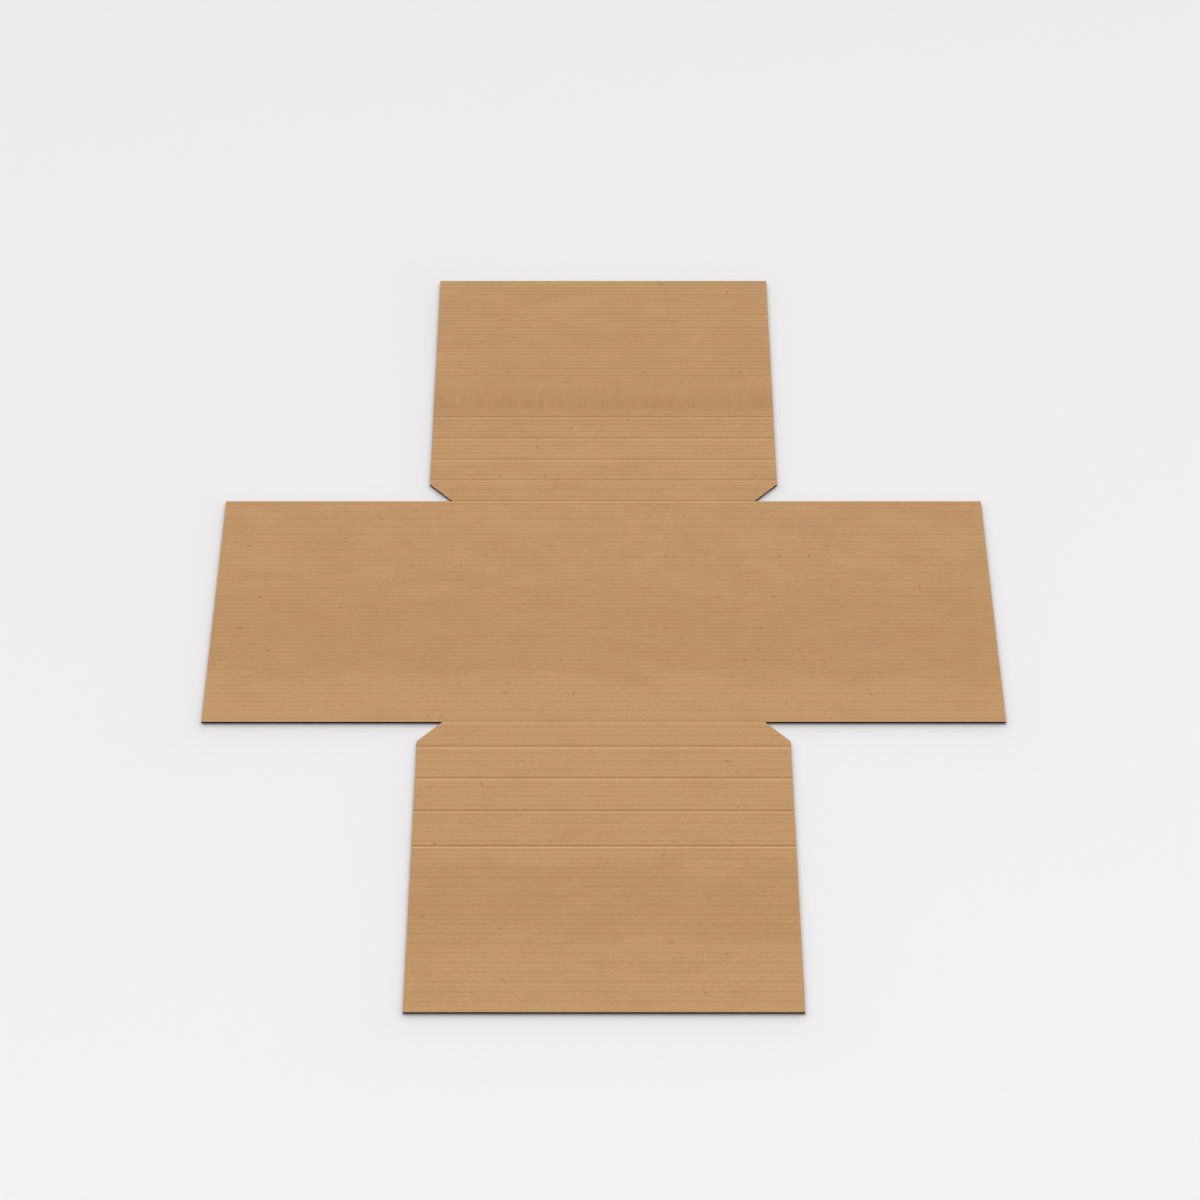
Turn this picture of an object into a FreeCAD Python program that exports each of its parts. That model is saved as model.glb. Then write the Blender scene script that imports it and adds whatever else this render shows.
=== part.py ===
# A flattened mailing box: one blank of fine-fluted corrugated board, die cut to a cross and lying flat.
# Millimetres. The origin is the middle of the underside, +Z is up and +Y points to the rear flap.
import FreeCAD, Part
import math
import os
import Sketcher

# Driving sizes, one spreadsheet cell each
SIZES = {
    # The die-cut outline
    "panel_width": 200.0,  # centre panel, from one wing fold to the other
    "panel_depth": 189.0,  # centre panel and wings, front edge to rear edge
    "wing_length": 150.0,  # how far each wing reaches past its fold
    "flap_length": 215.5,  # front and rear flaps, fold to cut end
    "flap_overhang": 15.6,  # how far a flap stands out past the panel on each side
    "shoulder_depth": 15.6,  # how far past its fold a flap reaches its full width
    # The corrugated section
    "board_thickness": 1.5,
    "liner_thickness": 0.2,  # the flat paper on each face
    "medium_thickness": 0.2,  # the wavy paper between them, measured upright
    "flute_pitch": 3.4,
    "flute_flat": 0.7,  # width of wave glued flat to a liner at each crest
    "crush_margin": 0.4,  # solid paper between the last flute and a crease or cut
    "edge_gap": 0.8,  # depth of the flute left open along a cut that runs its way
    # Creases across the flaps, each a step further out than the one before
    "rear_step_one": 19.0,
    "rear_step_two": 19.5,
    "rear_step_three": 20.2,
    "rear_step_four": 20.3,
    "front_step_one": 20.0,
    "front_step_two": 24.6,
    "front_step_three": 25.5,
    "front_step_four": 26.6,
    "crease_width": 3.2,
    "crease_floor": 0.8,  # width of a crease along its bottom
    "rear_crease_depth": 0.15,
    "front_crease_depth": 0.2,
    "fold_crease_depth": 0.15,  # where the flaps join the panel
    # Light scores along the wings, each a step further out than the one before
    "left_step_one": 19.8,
    "left_step_two": 10.3,
    "left_step_three": 5.7,
    "left_step_four": 6.1,
    "left_step_five": 6.0,
    "left_step_six": 11.4,
    "right_step_one": 19.5,
    "right_step_two": 10.6,
    "right_step_three": 6.6,
    "right_step_four": 6.3,
    "right_step_five": 8.8,
    "right_step_six": 13.6,
    "score_width": 0.8,
    "score_share": 0.5,  # how much of the liner's thickness a score presses into
}
FLAP_STEPS = ("one", "two", "three", "four")
WING_STEPS = FLAP_STEPS + ("five", "six")


def size_sheet(document):
    sheet = document.addObject("Spreadsheet::Sheet", "Sizes")
    for row, (alias, value) in enumerate(SIZES.items(), start=1):
        sheet.set(f"A{row}", alias)
        sheet.set(f"B{row}", str(value))
        sheet.setAlias(f"B{row}", alias)
    document.recompute()
    return sheet


def new_sketch(body, name, role):
    """A sketch on one of the body's own origin planes."""
    plane = next(item for item in body.Origin.OriginFeatures if item.Role == role)
    sketch = body.newObject("Sketcher::SketchObject", name)
    sketch.AttachmentSupport = [(plane, "")]
    sketch.MapMode = "FlatFace"
    return sketch


def draw_loop(sketch, corners):
    """One closed loop. Each corner is a pair of expressions for its distances from the sketch's origin."""
    places = [[float(sketch.evalExpression(text)) for text in corner] for corner in corners]
    points = [FreeCAD.Vector(across, up, 0) for across, up in places]
    first = sketch.GeometryCount
    for start, end in zip(points, points[1:] + points[:1]):
        sketch.addGeometry(Part.LineSegment(start, end), False)
    for index, (corner, place) in enumerate(zip(corners, places)):
        line = first + index
        line_before = first + (index - 1) % len(corners)
        sketch.addConstraint(Sketcher.Constraint("Coincident", line_before, 2, line, 1))
        for kind, text, value in zip(("DistanceX", "DistanceY"), corner, place):
            number = sketch.addConstraint(Sketcher.Constraint(kind, -1, 1, line, 1, value))
            sketch.setExpression(f"Constraints[{number}]", text)


def running_places(start, side, steps):
    """Expressions for a row of creases that starts at a fold, each one step past the last."""
    places = [start]
    for step in steps:
        places.append(f"{places[-1]} + Sizes.{side}_step_{step}")
    return [f"({place})" for place in places]


def cut_both_ways(body, name, sketch, length=None):
    """Cuts a sketch out of the body, as far on one side of its plane as on the other."""
    pocket = body.newObject("PartDesign::Pocket", name)
    pocket.Profile = sketch
    pocket.SideType = "Symmetric"
    if length:
        pocket.setExpression("Length", length)
    else:
        pocket.Type = "ThroughAll"
    return pocket


# Places that several features share, from the middle of the centre panel outwards
PANEL_SIDE = "Sizes.panel_width / 2"
PANEL_EDGE = "Sizes.panel_depth / 2"
WING_END = f"({PANEL_SIDE} + Sizes.wing_length)"
FLAP_SIDE = f"({PANEL_SIDE} + Sizes.flap_overhang)"
FLAP_END = f"({PANEL_EDGE} + Sizes.flap_length)"
TOP = "Sizes.board_thickness"


def add_outline(body):
    """A centre panel, two wings, and two flaps that widen past the panel at sloping shoulders."""
    shoulder = f"({PANEL_EDGE} + Sizes.shoulder_depth)"
    quarter = [
        (WING_END, PANEL_EDGE),
        (PANEL_SIDE, PANEL_EDGE),
        (FLAP_SIDE, shoulder),
        (FLAP_SIDE, FLAP_END),
    ]
    corners = list(quarter)
    corners += [(f"-{across}", along) for across, along in reversed(quarter)]
    corners += [(f"-{across}", f"-{along}") for across, along in quarter]
    corners += [(across, f"-{along}") for across, along in reversed(quarter)]
    outline = new_sketch(body, "Outline", "XY_Plane")
    draw_loop(outline, corners)
    board = body.newObject("PartDesign::Pad", "Board")
    board.Profile = outline
    board.setExpression("Length", TOP)


def draw_crease(sketch, place, depth):
    """A pressed groove with sloping sides and a flat floor."""
    floor = f"{TOP} - {depth}"
    draw_loop(sketch, [
        (f"{place} - Sizes.crease_width / 2", TOP),
        (f"{place} - Sizes.crease_floor / 2", floor),
        (f"{place} + Sizes.crease_floor / 2", floor),
        (f"{place} + Sizes.crease_width / 2", TOP),
    ])


def add_creases(body):
    flap_creases = new_sketch(body, "FlapCreaseLines", "YZ_Plane")
    for side, sign in (("rear", ""), ("front", "-")):
        for place in running_places(PANEL_EDGE, side, FLAP_STEPS)[1:]:
            draw_crease(flap_creases, f"{sign}{place}", f"Sizes.{side}_crease_depth")
    cut_both_ways(body, "FlapCreases", flap_creases)

    fold_creases = new_sketch(body, "FoldCreaseLines", "YZ_Plane")
    draw_crease(fold_creases, PANEL_EDGE, "Sizes.fold_crease_depth")
    draw_crease(fold_creases, f"-{PANEL_EDGE}", "Sizes.fold_crease_depth")
    # they run on just past the panel, so that the notch in each corner opens from the crease
    cut_both_ways(body, "FoldCreases", fold_creases, "Sizes.panel_width + 2 * Sizes.crease_width")


def add_wing_scores(body):
    """Light V scores across both wings, the first one at the wing's fold."""
    scores = new_sketch(body, "WingScoreLines", "XZ_Plane")
    left_places = [f"-{place}" for place in running_places(PANEL_SIDE, "left", WING_STEPS)]
    for place in left_places + running_places(PANEL_SIDE, "right", WING_STEPS):
        draw_loop(scores, [
            (f"{place} - Sizes.score_width / 2", TOP),
            (place, f"{TOP} - Sizes.score_share * Sizes.liner_thickness"),
            (f"{place} + Sizes.score_width / 2", TOP),
        ])
    cut_both_ways(body, "WingScores", scores, "Sizes.panel_depth")


def add_edge_gaps(body):
    """Where a cut runs the way of the flutes, one lies open between the two liners."""
    gaps = new_sketch(body, "EdgeGapLines", "XY_Plane")
    gaps.setExpression("AttachmentOffset.Base.z", "Sizes.liner_thickness")
    wing_start = f"({PANEL_SIDE} + max(Sizes.crease_width; Sizes.edge_gap) + Sizes.crush_margin)"
    spans = [
        (f"-{FLAP_SIDE} - Sizes.edge_gap", f"{FLAP_SIDE} + Sizes.edge_gap", FLAP_END),
        (f"-{WING_END} - Sizes.edge_gap", f"-{wing_start}", PANEL_EDGE),
        (wing_start, f"{WING_END} + Sizes.edge_gap", PANEL_EDGE),
    ]
    for left, right, edge in spans:
        for side in ("", "-"):
            inner = f"{side}({edge} - Sizes.edge_gap)"
            outer = f"{side}({edge} + Sizes.edge_gap)"
            draw_loop(gaps, [(left, inner), (right, inner), (right, outer), (left, outer)])
    pocket = body.newObject("PartDesign::Pocket", "EdgeGaps")
    pocket.Profile = gaps
    pocket.Reversed = True
    pocket.setExpression("Length", f"{TOP} - 2 * Sizes.liner_thickness")


def flute_places(sheet, start, stop):
    """The middles of the gaps under the wave, as many as fit whole between two creases."""
    overlap = sheet.flute_pitch / 2 - sheet.flute_flat
    room = stop - start - 2 * sheet.crush_margin - overlap
    count = max(0, math.floor(room / sheet.flute_pitch))
    first = (start + stop - (count - 0.5) * sheet.flute_pitch) / 2
    return [first + number * sheet.flute_pitch for number in range(count)]


def flute_runs(sheet):
    """The stretches between creases, front to back and back to front, where the wave isn't crushed."""
    crease_half = sheet.crease_width / 2
    panel_edge = sheet.panel_depth / 2
    panel_run = panel_edge - max(crease_half, sheet.edge_gap)
    runs = [(-panel_run, panel_run)]
    for side, sign in (("rear", 1), ("front", -1)):
        start = panel_edge
        for step in FLAP_STEPS:
            stop = start + getattr(sheet, f"{side}_step_{step}")
            runs.append((sign * (start + crease_half), sign * (stop - crease_half)))
            start = stop
        flap_end = panel_edge + sheet.flap_length
        runs.append((sign * (start + crease_half), sign * (flap_end - sheet.edge_gap)))
    return [(min(run), max(run)) for run in runs]


def flute_gaps(sheet):
    """Every hollow of the corrugated section, as long prisms that pass right through the board."""
    bottom = sheet.liner_thickness
    top = sheet.board_thickness - sheet.liner_thickness
    wave = sheet.medium_thickness
    narrow = sheet.flute_flat / 2
    wide = (sheet.flute_pitch - sheet.flute_flat) / 2
    reach = sheet.panel_width / 2 + max(sheet.wing_length, sheet.flap_overhang) + sheet.flute_pitch

    def prism(middle, low, low_half, high, high_half):
        section = [(-low_half, low), (low_half, low), (high_half, high), (-high_half, high)]
        points = [FreeCAD.Vector(-reach, middle + along, up) for along, up in section]
        face = Part.Face(Part.makePolygon(points + points[:1]))
        return face.extrude(FreeCAD.Vector(2 * reach, 0, 0))

    prisms = []
    for start, stop in flute_runs(sheet):
        for middle in flute_places(sheet, start, stop):
            prisms.append(prism(middle, bottom, wide, top - wave, narrow))
            prisms.append(prism(middle + sheet.flute_pitch / 2, bottom + wave, narrow, top, wide))
    return Part.makeCompound(prisms)


def check(document, blank):
    """Stops with a plain message where a feature failed or the blank isn't one valid solid."""
    for item in document.Objects:
        if {"Invalid", "Error"} & set(item.State):
            raise RuntimeError(f"{item.Name} failed: {item.State}")
    shape = blank.Shape
    if shape.isNull() or not shape.isValid() or len(shape.Solids) != 1:
        raise RuntimeError(f"{blank.Label} is not one valid solid")


def main():
    document = FreeCAD.newDocument("FlattenedBox")
    sheet = size_sheet(document)

    board = document.addObject("PartDesign::Body", "ScoredBoard")
    add_outline(board)
    add_creases(board)
    add_wing_scores(board)
    add_edge_gaps(board)

    flutes = document.addObject("Part::Feature", "FluteGaps")
    flutes.Shape = flute_gaps(sheet)
    flutes.Placement = FreeCAD.Placement()

    blank = document.addObject("Part::Cut", "CardBlank")
    blank.Label = "card_blank"
    blank.Base = board
    blank.Tool = flutes
    blank.Refine = False
    blank.Placement = FreeCAD.Placement()
    document.recompute()
    check(document, blank)

    solid = blank.Shape.Solids[0]
    print(f"{blank.Label}: {solid.Volume:.0f} cubic millimetres, {len(solid.Faces)} faces")
    os.makedirs("parts", exist_ok=True)
    solid.exportStep(f"parts/{blank.Label}.step")


main()
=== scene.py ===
import math

import bpy
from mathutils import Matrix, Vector


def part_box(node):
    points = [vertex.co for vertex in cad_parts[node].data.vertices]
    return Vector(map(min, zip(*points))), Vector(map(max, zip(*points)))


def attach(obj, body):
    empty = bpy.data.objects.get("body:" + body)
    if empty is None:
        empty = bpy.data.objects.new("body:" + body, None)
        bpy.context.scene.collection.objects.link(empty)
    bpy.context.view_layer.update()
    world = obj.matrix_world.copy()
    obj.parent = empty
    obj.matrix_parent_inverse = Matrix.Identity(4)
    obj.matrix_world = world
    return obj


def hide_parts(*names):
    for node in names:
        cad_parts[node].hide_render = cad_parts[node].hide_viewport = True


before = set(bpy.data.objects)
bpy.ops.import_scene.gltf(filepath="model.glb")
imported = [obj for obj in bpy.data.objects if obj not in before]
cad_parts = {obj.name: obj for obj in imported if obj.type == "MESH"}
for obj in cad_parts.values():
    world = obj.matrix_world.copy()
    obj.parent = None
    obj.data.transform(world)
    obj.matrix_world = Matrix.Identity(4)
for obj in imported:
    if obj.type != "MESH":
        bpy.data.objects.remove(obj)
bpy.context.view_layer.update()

mm = 0.001
bothSides = (-1.0, 1.0)
scene = bpy.context.scene
boardLow, boardHigh = (Vector(corner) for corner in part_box("card_blank"))


# Helpers for building node trees

def addNode(tree, kind, inputs=None, **settings):
    node = tree.nodes.new(kind)
    for name, value in settings.items():
        setattr(node, name, value)
    for name, value in (inputs or {}).items():
        if isinstance(value, bpy.types.NodeSocket):
            tree.links.new(value, node.inputs[name])
        else:
            node.inputs[name].default_value = value
    return node


def maths(tree, operation, *values):
    return addNode(tree, "ShaderNodeMath", dict(enumerate(values)), operation=operation).outputs[0]


def product(tree, first, *others):
    for other in others:
        first = maths(tree, "MULTIPLY", first, other)
    return first


def vectorMaths(tree, operation, *values):
    node = addNode(tree, "ShaderNodeVectorMath", dict(enumerate(values)), operation=operation)
    return node.outputs["Value" if operation == "LENGTH" else "Vector"]


def axes(tree, vector):
    return addNode(tree, "ShaderNodeSeparateXYZ", {0: vector}).outputs


def ramp(tree, value, fromLow, fromHigh, toLow=0.0, toHigh=1.0, smooth=False):
    node = addNode(tree, "ShaderNodeMapRange", {
        "Value": value, "From Min": fromLow, "From Max": fromHigh, "To Min": toLow, "To Max": toHigh,
    }, interpolation_type="SMOOTHSTEP" if smooth else "LINEAR")
    return node.outputs["Result"]


def newGroup(kind, name, inputs, outputs):
    tree = bpy.data.node_groups.new(name, kind)
    for side, sockets in (("INPUT", inputs), ("OUTPUT", outputs)):
        for label, socketKind in sockets:
            tree.interface.new_socket(label, in_out=side, socket_type=f"NodeSocket{socketKind}")
    return tree, tree.nodes.new("NodeGroupInput").outputs, tree.nodes.new("NodeGroupOutput").inputs


# Camera: the photo looks down on the blank from in front

cameraView = {
    "pitch": 48.3,  # degrees below level
    "lens": 91.22,  # in millimetres, as is the sensor's width
    "sensor": 36.0,
    "nearest": 0.05,
    "farthest": 60.0,
    "heightOverBoard": 1460.4 * mm,
    "aimX": -2.25 * mm,  # where the middle of the picture meets the board
    "aimY": 6.8 * mm,
}


def makeCamera():
    pitch = math.radians(cameraView["pitch"])
    data = bpy.data.cameras.new("photoCamera")
    data.lens = cameraView["lens"]
    data.sensor_width = cameraView["sensor"]
    data.clip_start = cameraView["nearest"]
    data.clip_end = cameraView["farthest"]
    camera = bpy.data.objects.new("photoCamera", data)
    height = cameraView["heightOverBoard"]
    setBack = height / math.tan(pitch)
    camera.location = (cameraView["aimX"], cameraView["aimY"] - setBack, boardHigh.z + height)
    camera.rotation_euler = (math.pi / 2 - pitch, 0.0, 0.0)
    scene.collection.objects.link(camera)
    scene.camera = camera


makeCamera()
print("camera set")


# The blank: where its creases lie and how deep they are pressed

blankShape = {
    "panelWidth": 200.0 * mm,
    "panelDepth": 189.0 * mm,
    "flapWidth": 231.2 * mm,
    "shoulderDepth": 15.6 * mm,
    # Creases on the flaps and scores on the wings: from the fold to the first, then from each to the next
    "rearSteps": (19.0 * mm, 19.5 * mm, 20.2 * mm, 20.3 * mm),
    "frontSteps": (20.0 * mm, 24.6 * mm, 25.5 * mm, 26.6 * mm),
    "leftSteps": (19.8 * mm, 10.3 * mm, 5.7 * mm, 6.1 * mm, 6.0 * mm, 11.4 * mm),
    "rightSteps": (19.5 * mm, 10.6 * mm, 6.6 * mm, 6.3 * mm, 8.8 * mm, 13.6 * mm),
    "creaseWidth": 3.2 * mm,
    "rearCreaseDepth": 0.15 * mm,
    "frontCreaseDepth": 0.20 * mm,
    "foldCreaseDepth": 0.12 * mm,
    "foldOverrun": 3.2 * mm,  # how far a fold's crease runs on past the panel
    "scoreWidth": 1.4 * mm,
    "scoreDepth": 0.08 * mm,
    "bandLow": 182.0 * mm,  # the band on the rear flap where the flutes don't show
    "bandHigh": 207.5 * mm,
    "bandFade": 1.0 * mm,
    "calmSag": 0.60,  # how much the liner sags in front of the rear fold, against behind it
    "calmFade": 10.0 * mm,  # how far behind that fold the sag is back in full
    # width of the painted highlight along the blank's cut edges
    "rimWidth": 0.8 * mm,
    "notchRim": 0.2 * mm,  # the rim narrows to this where a flap meets the panel
    "wingRimStart": 1.0 * mm,  # how far past its fold the rim on a wing's long edges starts
    "sharpAngle": 50.0,  # degrees, from which an edge is shaded sharp
}

# The mesh: how close its rows and columns lie
latticeSteps = {
    "rowsPerFlute": {"lower": 4, "wave": 12, "upper": 6},
    "columnStep": 50.0 * mm,
    # Extra rows at a crease and columns at a score, in widths of it from its middle
    "creaseRows": [step / 14 for step in range(-8, 9)],
    "scoreColumns": (-0.7, -0.5, 0.0, 0.5, 0.7),
    "ownPlace": 0.01 * mm,  # an extra row this close to the end of a stretch is left out
    "crowded": 0.3,  # as is a plain row this close to an extra one, in steps
    "foldSlack": 0.1 * mm,  # keeps the column at the end of a fold's crease unpressed
    "weld": 1e-6,  # points closer than this become one
}

boardPapers = {
    "Board Thickness": boardHigh.z - boardLow.z,
    "Liner Thickness": 0.2 * mm,
    "Wave Thickness": 0.2 * mm,
    "Flute Pitch": 3.4 * mm,
    "Crest Flatness": 1.15,  # over 1, the crests of the wave are flattened where they are glued
    "Liner Sag": 0.045 * mm,  # dip of a liner between two crests, where it is deepest
}


def runningPlaces(start, steps):
    places = [start]
    for step in steps:
        places.append(places[-1] + step)
    return places


panelHalf = blankShape["panelWidth"] / 2
panelEdge = blankShape["panelDepth"] / 2
rearCreases = runningPlaces(panelEdge, blankShape["rearSteps"])
frontCreases = [-place for place in runningPlaces(panelEdge, blankShape["frontSteps"])]
wingScores = [-place for place in runningPlaces(panelHalf, blankShape["leftSteps"])]
wingScores += runningPlaces(panelHalf, blankShape["rightSteps"])


def groove(distance, width):
    if abs(distance) >= width / 2:
        return 0.0
    return 0.5 + 0.5 * math.cos(2 * math.pi * distance / width)


def deepest(depth, spot, places, width):
    return depth * max(groove(spot - place, width) for place in places)


def pressDepth(x, y):
    shape = blankShape
    width = shape["creaseWidth"]
    depths = [0.0]
    if abs(y) > panelEdge:
        depths.append(deepest(shape["rearCreaseDepth"], y, rearCreases[1:], width))
        depths.append(deepest(shape["frontCreaseDepth"], y, frontCreases[1:], width))
    if abs(x) < panelHalf + shape["foldOverrun"] - latticeSteps["foldSlack"]:
        depths.append(deepest(shape["foldCreaseDepth"], abs(y), [panelEdge], width))
    if abs(y) <= panelEdge:
        depths.append(deepest(shape["scoreDepth"], x, wingScores, shape["scoreWidth"]))
    return max(depths)


def sagShare(x, y):
    low, high = blankShape["bandLow"], blankShape["bandHigh"]
    besideBand = min(1.0, max(low - y, y - high, 0.0) / blankShape["bandFade"])
    behindFold = min(1.0, max(0.0, (y - panelEdge) / blankShape["calmFade"]))
    return besideBand * (blankShape["calmSag"] + (1 - blankShape["calmSag"]) * behindFold)


def flapHalf(y):
    widening = (blankShape["flapWidth"] / 2 - panelHalf) / blankShape["shoulderDepth"]
    return min(blankShape["flapWidth"] / 2, panelHalf + (abs(y) - panelEdge) * widening)


# How strongly the painted edge highlight shows: 1 at a cut edge, 0 a rim's width in
def rimShare(x, y):
    ends = [boardHigh.y - abs(y)]
    if abs(y) <= panelEdge:
        ends.append(boardHigh.x - abs(x))
        if abs(x) > panelHalf + blankShape["wingRimStart"]:
            ends.append(panelEdge - abs(y))
    else:
        ends.append(flapHalf(y) - abs(x))
    return max(0.0, 1.0 - min(ends) / blankShape["rimWidth"])


# The lattice: three flat sheets of rows and columns in the blank's outline, one for each paper

def spread(start, stop, step, extra=()):
    count = max(1, math.ceil((stop - start) / step))
    gap = (stop - start) / count
    low, high = start + latticeSteps["ownPlace"], stop - latticeSteps["ownPlace"]
    extra = [place for place in extra if low < place < high]
    inner = [start + gap * index for index in range(1, count)]
    crowded = latticeSteps["crowded"] * gap
    inner = [place for place in inner if all(abs(place - other) > crowded for other in extra)]
    return [start] + sorted(inner + extra) + [stop]


def around(places, width, offsets):
    return [place + width * offset for place in places for offset in offsets]


def flapColumns(y, panelColumns, paper):
    half = flapHalf(y)
    if paper != "upper":
        return [-half] + panelColumns[1:-1] + [half]
    rim = half - min(blankShape["rimWidth"], blankShape["notchRim"] + half - panelHalf)
    return [-half, -rim] + panelColumns[2:-2] + [rim, half]


def latticeStretches(paper):
    shape = blankShape
    rowStep = boardPapers["Flute Pitch"] / latticeSteps["rowsPerFlute"][paper]
    columnStep = boardHigh.x - boardLow.x  # only the upper paper has columns inside its edges
    creaseRows, marks = [], []
    if paper == "upper":
        columnStep = latticeSteps["columnStep"]
        creaseRows = around(rearCreases + frontCreases, shape["creaseWidth"], latticeSteps["creaseRows"])
        marks = around(wingScores, shape["scoreWidth"], latticeSteps["scoreColumns"])
        marks += around((boardLow.x, boardHigh.x), shape["rimWidth"], bothSides)
        marks += around((-panelHalf, panelHalf), shape["notchRim"], bothSides)
    foldEnd = panelHalf + shape["foldOverrun"]
    panelColumns = spread(-panelHalf, panelHalf, columnStep, marks)
    leftColumns = spread(boardLow.x, -foldEnd, columnStep, marks)
    leftColumns += sorted(x for x in marks if -foldEnd < x < -panelHalf)
    rightColumns = sorted(x for x in marks if panelHalf < x < foldEnd)
    rightColumns += spread(foldEnd, boardHigh.x, columnStep, marks)
    stripColumns = leftColumns + panelColumns + rightColumns
    shoulderEnd = panelEdge + shape["shoulderDepth"]
    for start, stop in (
        (boardLow.y, -shoulderEnd), (-shoulderEnd, -panelEdge), (-panelEdge, panelEdge),
        (panelEdge, shoulderEnd), (shoulderEnd, boardHigh.y),
    ):
        rows = spread(start, stop, rowStep, creaseRows)
        if start == -panelEdge:
            yield [(y, stripColumns) for y in rows]
        else:
            yield [(y, flapColumns(y, panelColumns, paper)) for y in rows]


def buildLattice():
    points, faces, sheets = [], [], []
    for sheet, paper in enumerate(("lower", "wave", "upper")):
        for rows in latticeStretches(paper):
            across = len(rows[0][1])
            first = len(points)
            for y, columns in rows:
                points += [(x, y, 0.0) for x in columns]
            for row in range(len(rows) - 1):
                for column in range(across - 1):
                    corner = first + row * across + column
                    faces.append((corner, corner + 1, corner + 1 + across, corner + across))
        sheets += [sheet] * (len(points) - len(sheets))
    mesh = bpy.data.meshes.new("lattice")
    mesh.from_pydata(points, [], faces)
    mesh.attributes.new("sheet", "INT", "POINT").data.foreach_set("value", sheets)
    for name, measure in (("press", pressDepth), ("sagShare", sagShare), ("rim", rimShare)):
        values = [measure(x, y) for x, y, z in points]
        mesh.attributes.new(name, "FLOAT", "POINT").data.foreach_set("value", values)
    return mesh


# Geometry nodes: each sheet becomes a closed paper, and the middle one is thrown into waves

def welded(tree, geometry):
    return addNode(tree, "GeometryNodeMergeByDistance", {
        "Geometry": geometry, "Distance": latticeSteps["weld"],
    }).outputs["Geometry"]


def paperSheetGroup():
    tree, given, result = newGroup("GeometryNodeTree", "paperSheet", [
        ("Lattice", "Geometry"), ("Sheet", "Int"), ("Low", "Float"), ("High", "Float"),
        ("Inside Below", "Float"), ("Inside Above", "Float"),
    ], [("Paper", "Geometry")])
    sheet = addNode(tree, "GeometryNodeInputNamedAttribute", {"Name": "sheet"}, data_type="INT")
    chosen = addNode(tree, "FunctionNodeCompare", {
        2: sheet.outputs["Attribute"], 3: given["Sheet"],
    }, data_type="INT", operation="EQUAL")
    parts = addNode(tree, "GeometryNodeSeparateGeometry", {
        "Geometry": given["Lattice"], "Selection": chosen.outputs[0],
    })
    flat = welded(tree, parts.outputs["Selection"])
    raised = addNode(tree, "GeometryNodeExtrudeMesh", {
        "Mesh": flat, "Offset": (0.0, 0.0, 1.0), "Offset Scale": 1.0, "Individual": False,
    }, mode="FACES")
    under = addNode(tree, "GeometryNodeFlipFaces", {"Mesh": flat})

    # The inside and cutEdge marks tell the material where it paints shade over the paper
    def marked(geometry, inside, cut):
        for name, value in (("inside", inside), ("cutEdge", cut)):
            geometry = addNode(tree, "GeometryNodeStoreNamedAttribute", {
                "Geometry": geometry, "Name": name, "Value": value,
            }, data_type="FLOAT", domain="FACE").outputs["Geometry"]
        return geometry

    # The cut side of a paper counts as inside only where both its faces do
    side = maths(tree, "MINIMUM", given["Inside Below"], given["Inside Above"])
    above = maths(tree, "MULTIPLY", raised.outputs["Top"], given["Inside Above"])
    joined = addNode(tree, "GeometryNodeJoinGeometry")
    for part in (
        marked(under.outputs["Mesh"], given["Inside Below"], 0.0),
        marked(raised.outputs["Mesh"], maths(tree, "MAXIMUM", side, above), raised.outputs["Side"]),
    ):
        tree.links.new(part, joined.inputs["Geometry"])
    place = axes(tree, addNode(tree, "GeometryNodeInputPosition").outputs[0])
    height = maths(tree, "SUBTRACT", given["High"], given["Low"])
    height = maths(tree, "MULTIPLY_ADD", height, place["Z"], given["Low"])
    moved = addNode(tree, "ShaderNodeCombineXYZ", {"X": place["X"], "Y": place["Y"], "Z": height})
    placed = addNode(tree, "GeometryNodeSetPosition", {
        "Geometry": welded(tree, joined.outputs["Geometry"]), "Position": moved.outputs[0],
    })
    tree.links.new(placed.outputs["Geometry"], result["Paper"])
    return tree


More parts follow.
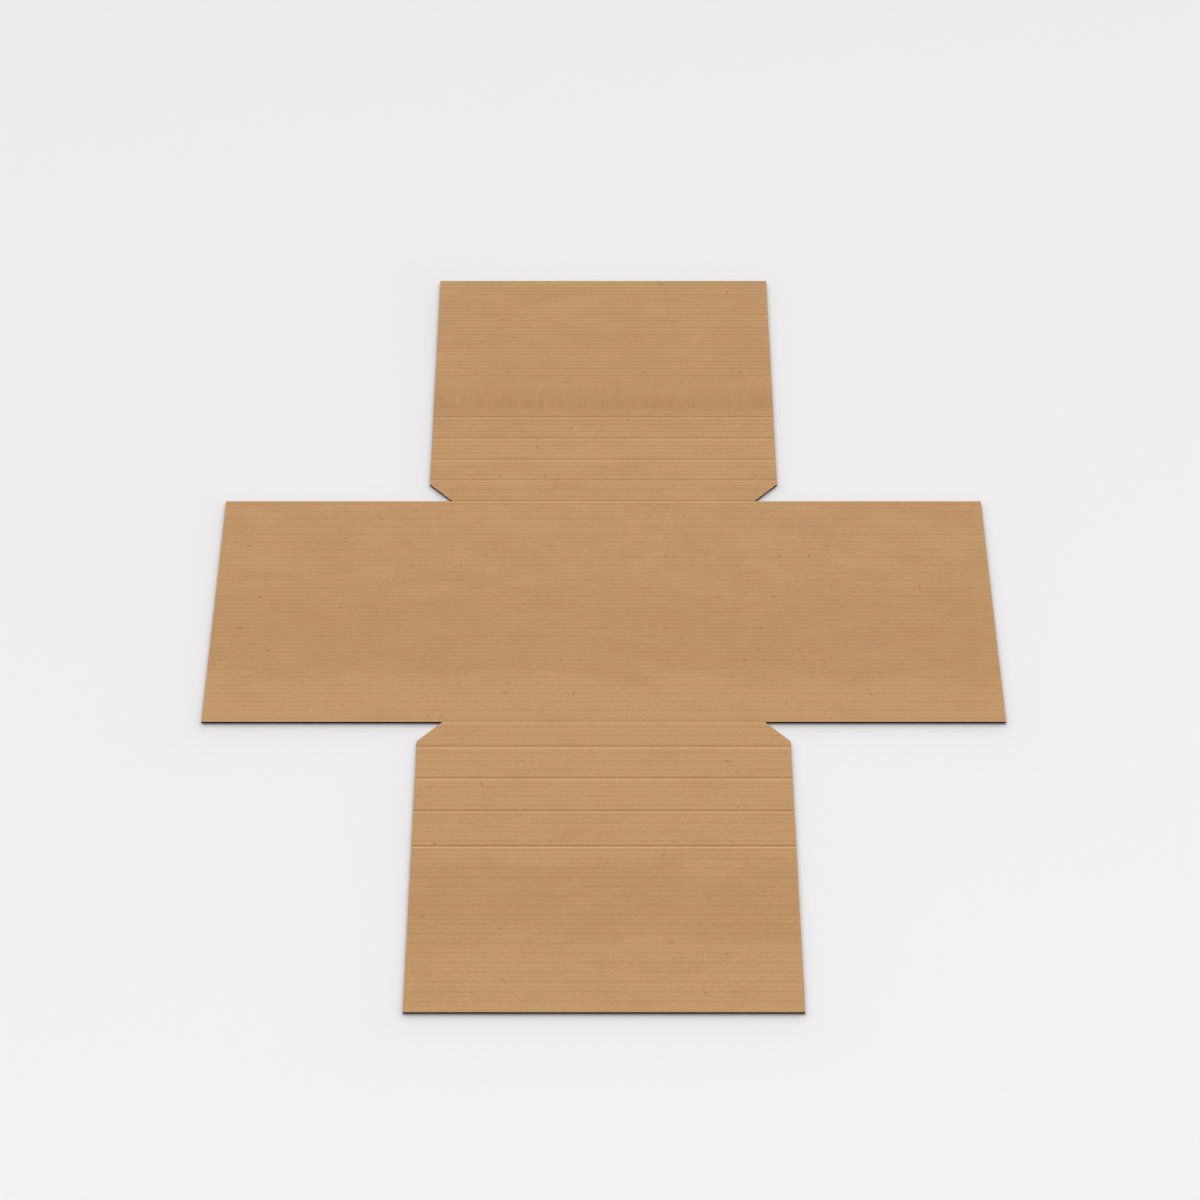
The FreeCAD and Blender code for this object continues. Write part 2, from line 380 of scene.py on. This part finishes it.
def corrugatedBoardTree():
    names = list(boardPapers)
    tree, given, result = newGroup(
        "GeometryNodeTree", "corrugatedBoard",
        [("Geometry", "Geometry")] + [(name, "Float") for name in names] + [("Material", "Material")],
        [("Geometry", "Geometry")],
    )
    board, liner, wavePaper, pitch, flatness, sag = (given[name] for name in names)
    place = axes(tree, addNode(tree, "GeometryNodeInputPosition").outputs[0])

    def attribute(name):
        node = addNode(tree, "GeometryNodeInputNamedAttribute", {"Name": name}, data_type="FLOAT")
        return node.outputs["Attribute"]

    press = attribute("press")
    turns = maths(tree, "DIVIDE", place["Y"], pitch)
    swing = product(tree, maths(tree, "SINE", product(tree, turns, math.tau)), flatness)
    swing = maths(tree, "MAXIMUM", maths(tree, "MINIMUM", swing, 1.0), -1.0)
    crest = maths(tree, "MULTIPLY_ADD", swing, 0.5, 0.5)  # 1 against the upper liner, 0 against the lower

    room = maths(tree, "SUBTRACT", board, maths(tree, "MULTIPLY_ADD", liner, 2.0, wavePaper))
    room = maths(tree, "SUBTRACT", room, press)
    waveLow = maths(tree, "MULTIPLY_ADD", room, crest, liner)
    waveHigh = maths(tree, "ADD", waveLow, wavePaper)
    lowerLow = product(tree, crest, sag)
    dip = product(tree, maths(tree, "SUBTRACT", 1.0, crest), sag, attribute("sagShare"))
    upperHigh = maths(tree, "SUBTRACT", maths(tree, "SUBTRACT", board, press), dip)
    upperLow = maths(tree, "SUBTRACT", upperHigh, liner)

    group = paperSheetGroup()
    papers = addNode(tree, "GeometryNodeJoinGeometry")
    for sheet, (low, high, below, above) in enumerate((
        (lowerLow, liner, 0.0, 1.0), (waveLow, waveHigh, 1.0, 1.0), (upperLow, upperHigh, 1.0, 0.0),
    )):
        paper = addNode(tree, "GeometryNodeGroup", {
            "Lattice": given["Geometry"], "Sheet": sheet, "Low": low, "High": high,
            "Inside Below": below, "Inside Above": above,
        }, node_tree=group)
        tree.links.new(paper.outputs["Paper"], papers.inputs["Geometry"])
    smooth = addNode(tree, "GeometryNodeSetShadeSmooth", {"Geometry": papers.outputs["Geometry"]})
    real = addNode(tree, "GeometryNodeRealizeInstances", {"Geometry": smooth.outputs["Geometry"]})
    painted = addNode(tree, "GeometryNodeSetMaterial", {
        "Geometry": real.outputs["Geometry"], "Material": given["Material"],
    })
    tree.links.new(painted.outputs["Geometry"], result["Geometry"])
    return tree


def bakeModifier(source, name):
    bpy.context.view_layer.update()
    graph = bpy.context.evaluated_depsgraph_get()
    mesh = bpy.data.meshes.new_from_object(source.evaluated_get(graph), depsgraph=graph)
    mesh.name = name
    bpy.data.objects.remove(source)
    piece = bpy.data.objects.new(name, mesh)
    scene.collection.objects.link(piece)
    return piece


def makeBlank(material):
    source = bpy.data.objects.new("blankLattice", buildLattice())
    scene.collection.objects.link(source)
    print("lattice:", len(source.data.polygons), "faces")
    tree = corrugatedBoardTree()
    modifier = source.modifiers.new("corrugate", "NODES")
    modifier.node_group = tree
    values = dict(boardPapers, Material=material)
    for item in tree.interface.items_tree:
        if item.in_out == "INPUT" and item.name in values:
            modifier[item.identifier] = values[item.name]
    blank = bakeModifier(source, "cardBlank")
    blank.data.set_sharp_from_angle(angle=math.radians(blankShape["sharpAngle"]))
    return blank


# Kraft paper

kraftLook = {
    "lightPaper": (0.520, 0.299, 0.131),
    "deepPaper": (0.482, 0.268, 0.115),
    # painted highlight along the cut edges, lighter than the paper
    "rimHighlight": (0.545, 0.322, 0.148),
    "fleck": (0.283, 0.095, 0.041),
    # cut sides of the liners: a darker brown of cut paper, darkened much further as painted shade
    "cutEdge": (0.034, 0.019, 0.009),
    # wave paper and the liners' inner faces: a darker kraft, darkened further as painted shade in the
    # flute hollows
    "inside": (0.090, 0.051, 0.024),
    # How deep the paper's tone is along the blank, from 0 for light to 1 for deep
    "toneAlong": (
        (-300 * mm, 0.05), (-268 * mm, 0.10), (-256 * mm, 0.70), (-232 * mm, 0.95), (-205 * mm, 0.45),
        (-185 * mm, 0.10), (-80 * mm, 0.02), (-60 * mm, 0.25), (-48 * mm, 0.90), (-15 * mm, 1.00),
        (12 * mm, 0.70), (40 * mm, 0.45), (115 * mm, 0.35), (142 * mm, 0.20), (170 * mm, 0.85),
        (188 * mm, 1.00), (215 * mm, 0.75), (300 * mm, 0.55),
    ),
    "toneWander": 9.0 * mm,  # how far the edge of a deeper band wanders
    "wanderSize": (70 * mm, 28 * mm, 28 * mm),
    "mottle": 0.68,
    "mottleSize": 16.0 * mm,
    "mottleStretch": 2.6,  # how much longer than deep the clouds in the paper are
    "hueShift": 0.037,
    "hueSize": 0.9,  # size of the clouds of hue, in clouds of tone
    "hueOffset": (3.7, 9.1, 5.3),  # sets them apart from the clouds of tone
    "toneSwing": (0.75, 1.0, 1.50),  # pale kraft is also less brown, so blue swings furthest and red least
    "grain": 0.145,
    "grainSize": 1.1 * mm,
    "fibreSize": 0.30 * mm,
    "fibreShare": 1.5,
    "fibresAlong": (7.0, 1.0, 1.0),  # size of a fibre along x, y and z, in fibre sizes
    "fibresAcross": (1.2, 6.0, 1.0),
    "acrossShare": 0.7,
    # painted shade of the flute ridges on the liner, in step with the shading of their relief
    "fluteShade": 0.006,
    "secondFluteShade": 0.019,  # painted shade: every second flute shows more
    "flutePatch": (30 * mm, 4 * mm, 4 * mm),  # the painted flute shade shows more in some patches than in others
    "flutePatchiness": 2.0,
    "fleckSpacing": 9.0 * mm,
    "fleckLength": 4.1 * mm,
    "fleckWidth": 1.15 * mm,
    "fleckShare": 0.062,  # how many of the cells hold one
    "fleckAngles": (-25.0, 115.0),
    "fleckSizes": (0.45, 1.15),
    "fleckFade": (1.15, 0.55),  # from its outer edge to where it is whole, in its own half widths
    "fleckStrength": 0.55,
    "faintestFleck": 0.35,
    "bandStreak": 0.070,
    "streakSize": (2.2 * mm, 22 * mm, 10 * mm),
    "streakBottom": 1.3,  # the streaks are stronger at the band's front edge and weaker at its rear edge
    "streakTop": 0.6,
    "bandTop": 0.040,  # painted shade: the smooth band is lighter at its rear edge and darker at its front edge, as a slight bend in it would be lit
    "bandBottom": -0.098,
    "roughness": 0.85,
    "roughnessSwing": 0.15,
    "specular": 0.25,
    "bump": 0.10,
    "bumpHeight": 0.05 * mm,
}
noiseGain = 4.0  # brings a noise, which mostly stays within a quarter of its middle, to -1 to 1


def groupNode(tree, group, inputs):
    return addNode(tree, "ShaderNodeGroup", inputs, node_tree=group).outputs


def scaled(tree, vector, sizes):
    return vectorMaths(tree, "MULTIPLY", vector, tuple(1 / size for size in sizes))


def noise(tree, vector, detail=2.0, roughness=0.5, distortion=0.0):
    node = addNode(tree, "ShaderNodeTexNoise", {
        "Vector": vector, "Scale": 1.0,
        "Detail": detail, "Roughness": roughness, "Distortion": distortion,
    }, noise_dimensions="3D")
    return maths(tree, "SUBTRACT", node.outputs["Fac"], 0.5)


def mixColour(tree, factor, first, second, mode="MIX"):
    def colour(value):
        return value if isinstance(value, bpy.types.NodeSocket) else (*value, 1.0)
    node = addNode(tree, "ShaderNodeMix", {
        0: factor, 6: colour(first), 7: colour(second),
    }, data_type="RGBA", blend_type=mode)
    return node.outputs[2]


def paperFibreGroup():
    tree, given, result = newGroup("ShaderNodeTree", "paperFibre", [
        ("Vector", "Vector"), ("Grain Size", "Float"), ("Fibre Size", "Float"),
    ], [("Grain", "Float"), ("Fibre", "Float")])
    coarse = vectorMaths(tree, "DIVIDE", given["Vector"], given["Grain Size"])
    fine = vectorMaths(tree, "DIVIDE", given["Vector"], given["Fibre Size"])
    grain = noise(tree, coarse, detail=3.0, roughness=0.75)
    along, across = (
        noise(tree, scaled(tree, fine, kraftLook[sizes]), roughness=0.6, distortion=0.6)
        for sizes in ("fibresAlong", "fibresAcross")
    )
    fibre = maths(tree, "ADD", along, product(tree, across, kraftLook["acrossShare"]))
    tree.links.new(grain, result["Grain"])
    tree.links.new(fibre, result["Fibre"])
    return tree


def barkFleckGroup():
    tree, given, result = newGroup("ShaderNodeTree", "barkFlecks", [
        ("Vector", "Vector"), ("Spacing", "Float"), ("Length", "Float"), ("Width", "Float"),
        ("Share", "Float"),
    ], [("Mask", "Float")])
    place = vectorMaths(tree, "DIVIDE", given["Vector"], given["Spacing"])
    cell = addNode(tree, "ShaderNodeTexVoronoi", {
        "Vector": place, "Scale": 1.0, "Randomness": 1.0,
    }, voronoi_dimensions="2D", feature="F1")
    chance = addNode(tree, "ShaderNodeSeparateColor", {"Color": cell.outputs["Color"]}).outputs
    offset = vectorMaths(tree, "SUBTRACT", place, cell.outputs["Position"])
    offset = vectorMaths(tree, "MULTIPLY", offset, given["Spacing"])
    least, most = (math.radians(angle) for angle in kraftLook["fleckAngles"])
    turned = addNode(tree, "ShaderNodeVectorRotate", {
        "Vector": offset, "Angle": ramp(tree, chance["Red"], 0.0, 1.0, least, most),
    }, rotation_type="Z_AXIS")
    spot = axes(tree, turned.outputs[0])
    size = ramp(tree, chance["Blue"], 0.0, 1.0, *kraftLook["fleckSizes"])
    halfLength = product(tree, given["Length"], size, 0.5)
    halfWidth = product(tree, given["Width"], 0.5)
    along = maths(tree, "DIVIDE", spot["X"], halfLength)
    bend = product(tree, along, along, halfWidth)
    across = maths(tree, "DIVIDE", maths(tree, "SUBTRACT", spot["Y"], bend), halfWidth)
    reach = maths(tree, "ADD", product(tree, along, along), product(tree, across, across))
    body = ramp(tree, maths(tree, "SQRT", reach), *kraftLook["fleckFade"], smooth=True)
    present = maths(tree, "LESS_THAN", chance["Green"], given["Share"])
    strength = ramp(tree, chance["Blue"], 0.0, 1.0, kraftLook["faintestFleck"], 1.0)
    tree.links.new(product(tree, body, present, strength), result["Mask"])
    return tree


# Painted shade of the flute ridges: darker where the liner slopes away from the light behind the blank
def fluteLineGroup():
    tree, given, result = newGroup("ShaderNodeTree", "fluteLines", [
        ("Vector", "Vector"), ("Pitch", "Float"), ("Each", "Float"), ("Second", "Float"),
    ], [("Tone", "Float")])
    place = axes(tree, given["Vector"])
    turn = product(tree, maths(tree, "DIVIDE", place["Y"], given["Pitch"]), math.tau)
    each = product(tree, maths(tree, "COSINE", turn), -1.0, given["Each"])
    second = product(tree, maths(tree, "COSINE", product(tree, turn, 0.5)), given["Second"])
    patchy = noise(tree, scaled(tree, given["Vector"], kraftLook["flutePatch"]))
    strength = maths(tree, "MULTIPLY_ADD", patchy, kraftLook["flutePatchiness"], 1.0)
    tone = product(tree, maths(tree, "ADD", each, second), strength)
    tree.links.new(tone, result["Tone"])
    return tree


def toneGroup():
    tree, given, result = newGroup("ShaderNodeTree", "paperTone", [
        ("Vector", "Vector"), ("Wander", "Float"), ("Mottle", "Float"), ("Size", "Float"),
        ("Stretch", "Float"),
    ], [("Depth", "Float"), ("Hue", "Float")])
    low, high = boardLow.y, boardHigh.y
    drift = noise(tree, scaled(tree, given["Vector"], kraftLook["wanderSize"]), detail=1.0)
    place = axes(tree, given["Vector"])
    along = maths(tree, "MULTIPLY_ADD", product(tree, drift, noiseGain), given["Wander"], place["Y"])
    curve = addNode(tree, "ShaderNodeFloatCurve", {"Value": ramp(tree, along, low, high)})
    points = curve.mapping.curves[0].points
    stops = [((y - low) / (high - low), depth) for y, depth in kraftLook["toneAlong"]]
    points[0].location, points[1].location = stops[0], stops[-1]
    for stop in stops[1:-1]:
        points.new(*stop)
    curve.mapping.update()
    cloudSize = addNode(tree, "ShaderNodeCombineXYZ", {
        0: product(tree, given["Size"], given["Stretch"]), 1: given["Size"], 2: given["Size"],
    })
    cloudPlace = vectorMaths(tree, "DIVIDE", given["Vector"], cloudSize.outputs[0])
    cloud = noise(tree, cloudPlace, detail=4.0, roughness=0.6)
    depth = product(tree, cloud, given["Mottle"])
    depth = maths(tree, "MULTIPLY_ADD", depth, noiseGain, curve.outputs[0])
    shifted = vectorMaths(tree, "ADD", cloudPlace, kraftLook["hueOffset"])
    hue = noise(tree, scaled(tree, shifted, [kraftLook["hueSize"]] * 3), detail=4.0, roughness=0.64)
    tree.links.new(depth, result["Depth"])
    tree.links.new(product(tree, hue, noiseGain), result["Hue"])
    return tree


def smoothBandGroup():
    tree, given, result = newGroup("ShaderNodeTree", "smoothBand", [
        ("Vector", "Vector"), ("Low", "Float"), ("High", "Float"), ("Top", "Float"), ("Bottom", "Float"),
        ("Streak", "Float"),
    ], [("Band", "Float"), ("Tone", "Float")])
    along = axes(tree, given["Vector"])["Y"]
    fade = blankShape["bandFade"]
    rise = maths(tree, "DIVIDE", maths(tree, "SUBTRACT", along, given["Low"]), fade)
    fall = maths(tree, "DIVIDE", maths(tree, "SUBTRACT", given["High"], along), fade)
    band = addNode(tree, "ShaderNodeClamp", {"Value": maths(tree, "MINIMUM", rise, fall)}).outputs[0]
    climb = ramp(tree, along, given["Low"], given["High"])
    # painted shade of a slight bend: lighter at the band's rear edge, darker at its front edge
    lean = ramp(tree, climb, 0.0, 1.0, given["Bottom"], given["Top"])
    streaks = scaled(tree, given["Vector"], kraftLook["streakSize"])
    streaks = noise(tree, streaks, detail=4.0, roughness=0.7)
    reach = ramp(tree, climb, 0.0, 1.0, kraftLook["streakBottom"], kraftLook["streakTop"])
    # the band's painted shade, with its streaks on top
    tone = maths(tree, "MULTIPLY_ADD", streaks, product(tree, given["Streak"], reach), lean)
    tree.links.new(band, result["Band"])
    tree.links.new(product(tree, tone, band), result["Tone"])
    return tree


def kraftMaterial():
    look = kraftLook
    material = bpy.data.materials.new("kraftBoard")
    material.use_nodes = True
    tree = material.node_tree
    shader = tree.nodes["Principled BSDF"]
    spot = addNode(tree, "ShaderNodeTexCoord").outputs["Object"]

    def attribute(name):
        node = addNode(tree, "ShaderNodeAttribute", attribute_name=name, attribute_type="GEOMETRY")
        return node.outputs["Fac"]

    tone = groupNode(tree, toneGroup(), {
        "Vector": spot, "Wander": look["toneWander"], "Mottle": look["mottle"],
        "Size": look["mottleSize"], "Stretch": look["mottleStretch"],
    })
    paper = mixColour(tree, tone["Depth"], look["lightPaper"], look["deepPaper"])
    # painted highlight along the cut edges
    paper = mixColour(tree, attribute("rim"), paper, look["rimHighlight"])

    band = groupNode(tree, smoothBandGroup(), {
        "Vector": spot, "Low": blankShape["bandLow"], "High": blankShape["bandHigh"],
        "Top": look["bandTop"], "Bottom": look["bandBottom"], "Streak": look["bandStreak"] * noiseGain,
    })
    flute = groupNode(tree, fluteLineGroup(), {
        "Vector": spot, "Pitch": boardPapers["Flute Pitch"],
        "Each": look["fluteShade"], "Second": look["secondFluteShade"],
    })
    fibre = groupNode(tree, paperFibreGroup(), {
        "Vector": spot, "Grain Size": look["grainSize"], "Fibre Size": look["fibreSize"],
    })
    # the painted flute shade is left out on the smooth band
    level = product(tree, flute["Tone"], maths(tree, "SUBTRACT", 1.0, band["Band"]))
    level = maths(tree, "ADD", level, band["Tone"])
    level = maths(tree, "MULTIPLY_ADD", fibre["Grain"], look["grain"] * noiseGain, level)
    level = maths(tree, "MULTIPLY_ADD", fibre["Fibre"], look["grain"] * look["fibreShare"], level)
    red, green, blue = (maths(tree, "MULTIPLY_ADD", level, swing, 1.0) for swing in look["toneSwing"])
    red = maths(tree, "MULTIPLY_ADD", tone["Hue"], look["hueShift"], red)
    green = maths(tree, "MULTIPLY_ADD", tone["Hue"], -look["hueShift"], green)
    shade = addNode(tree, "ShaderNodeCombineColor", {0: red, 1: green, 2: blue}).outputs[0]
    paper = mixColour(tree, 1.0, paper, shade, "MULTIPLY")

    flecks = groupNode(tree, barkFleckGroup(), {
        "Vector": spot, "Spacing": look["fleckSpacing"], "Length": look["fleckLength"],
        "Width": look["fleckWidth"], "Share": look["fleckShare"],
    })
    paper = mixColour(tree, product(tree, flecks["Mask"], look["fleckStrength"]), paper, look["fleck"])
    # painted shade over the cut sides and the board's inner faces, on top of their darker paper
    for name in ("cutEdge", "inside"):
        paper = mixColour(tree, attribute(name), paper, look[name])
    tree.links.new(paper, shader.inputs["Base Color"])

    bump = addNode(tree, "ShaderNodeBump", {
        "Strength": look["bump"], "Distance": look["bumpHeight"],
        "Height": maths(tree, "ADD", fibre["Grain"], fibre["Fibre"]),
    })
    tree.links.new(bump.outputs[0], shader.inputs["Normal"])
    roughness = maths(tree, "MULTIPLY_ADD", fibre["Fibre"], look["roughnessSwing"], look["roughness"])
    tree.links.new(roughness, shader.inputs["Roughness"])
    shader.inputs["Specular IOR Level"].default_value = look["specular"]
    return material


blank = makeBlank(kraftMaterial())
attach(blank, "root")
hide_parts("card_blank")
print("blank:", len(blank.data.polygons), "faces")


# Floor and light

stageLook = {
    "floorSize": 40.0,
    # The floor's colour is darker at the rear and lighter at the front: painted light falloff
    "floorRear": (0.828, 0.813, 0.821),
    "floorFront": (0.912, 0.895, 0.904),
    "gradientRear": 1.0,  # metres behind and in front of the blank where the painted light falloff on the floor stops changing
    "gradientFront": -0.6,
    "floorLean": 0.012,  # painted light: how much lighter the floor grows per metre to the right
    "shade": 0.034,  # painted soft shadow on the floor close round the blank
    # how far the painted shadow reaches out from the blank's outline
    "shadeReach": 24.0 * mm,
    # moves the painted shadow left, so it reaches further on the left side
    "shadeShift": (-8.0 * mm, 0.0, 0.0),
    "light": 2.46,
    "evenLight": 0.1,  # light from all round, against light from behind
    "horizonBoost": 2.0,
    "background": (0.87, 0.865, 0.868),
}


# Painted shadow on the floor: 1 at the blank's outline, falling off with distance from it
def nearBlankGroup():
    tree, given, result = newGroup("ShaderNodeTree", "nearBlank", [
        ("Vector", "Vector"), ("Shift", "Vector"), ("Reach", "Float"),
    ], [("Near", "Float")])
    place = vectorMaths(tree, "SUBTRACT", given["Vector"], given["Shift"])
    place = vectorMaths(tree, "ABSOLUTE", place)
    distances = []
    for half in ((boardHigh.x, panelEdge, 0.0), (blankShape["flapWidth"] / 2, boardHigh.y, 0.0)):
        beyond = vectorMaths(tree, "SUBTRACT", place, half)
        beyond = vectorMaths(tree, "MAXIMUM", beyond, (0.0, 0.0, 0.0))
        distances.append(vectorMaths(tree, "LENGTH", beyond))
    steps = maths(tree, "DIVIDE", maths(tree, "MINIMUM", *distances), given["Reach"])
    tree.links.new(maths(tree, "EXPONENT", product(tree, steps, -1.0)), result["Near"])
    return tree


def makeFloor():
    mesh = bpy.data.meshes.new("studioFloor")
    half = stageLook["floorSize"] / 2
    corners = [(-half, -half, 0), (half, -half, 0), (half, half, 0), (-half, half, 0)]
    mesh.from_pydata(corners, [], [(0, 1, 2, 3)])
    floor = bpy.data.objects.new("studioFloor", mesh)
    scene.collection.objects.link(floor)
    material = bpy.data.materials.new("paleFloor")
    material.use_nodes = True
    tree = material.node_tree
    shader = tree.nodes["Principled BSDF"]
    spot = addNode(tree, "ShaderNodeTexCoord").outputs["Object"]
    place = axes(tree, spot)
    # painted light falloff: darker towards the rear, lighter towards the front
    along = ramp(tree, place["Y"], stageLook["gradientFront"], stageLook["gradientRear"])
    colour = mixColour(tree, along, stageLook["floorFront"], stageLook["floorRear"])
    near = groupNode(tree, nearBlankGroup(), {
        "Vector": spot, "Shift": stageLook["shadeShift"], "Reach": stageLook["shadeReach"],
    })
    # painted light: lighter towards the right
    level = maths(tree, "MULTIPLY_ADD", place["X"], stageLook["floorLean"], 1.0)
    # painted soft shadow round the blank, darkening the floor's colour
    level = maths(tree, "MULTIPLY_ADD", near["Near"], -stageLook["shade"], level)
    toned = addNode(tree, "ShaderNodeVectorMath", {0: colour, "Scale": level}, operation="SCALE")
    tree.links.new(toned.outputs[0], shader.inputs["Base Color"])
    shader.inputs["Roughness"].default_value = 1.0
    shader.inputs["Specular IOR Level"].default_value = 0.0
    mesh.materials.append(material)


def makeSky():
    world = bpy.data.worlds.new("softStudio")
    scene.world = world
    world.use_nodes = True
    tree = world.node_tree
    tree.nodes.clear()
    ray = axes(tree, addNode(tree, "ShaderNodeTexCoord").outputs["Generated"])
    behind = maths(tree, "MAXIMUM", ray["Y"], 0.0)
    low = maths(tree, "SUBTRACT", 1.0, maths(tree, "ABSOLUTE", ray["Z"]))
    lift = maths(tree, "MULTIPLY_ADD", product(tree, low, low), stageLook["horizonBoost"], 1.0)
    level = maths(tree, "MULTIPLY_ADD", behind, lift, stageLook["evenLight"])
    strength = product(tree, level, stageLook["light"])
    light = addNode(tree, "ShaderNodeBackground", {"Color": (1.0, 1.0, 1.0, 1.0), "Strength": strength})
    shown = addNode(tree, "ShaderNodeBackground", {"Color": (*stageLook["background"], 1.0)})
    path = addNode(tree, "ShaderNodeLightPath")
    mixed = addNode(tree, "ShaderNodeMixShader", {
        0: path.outputs["Is Camera Ray"], 1: light.outputs[0], 2: shown.outputs[0],
    })
    output = tree.nodes.new("ShaderNodeOutputWorld")
    tree.links.new(mixed.outputs[0], output.inputs["Surface"])


makeFloor()
makeSky()
scene.view_settings.view_transform = "Standard"
print("stage set")
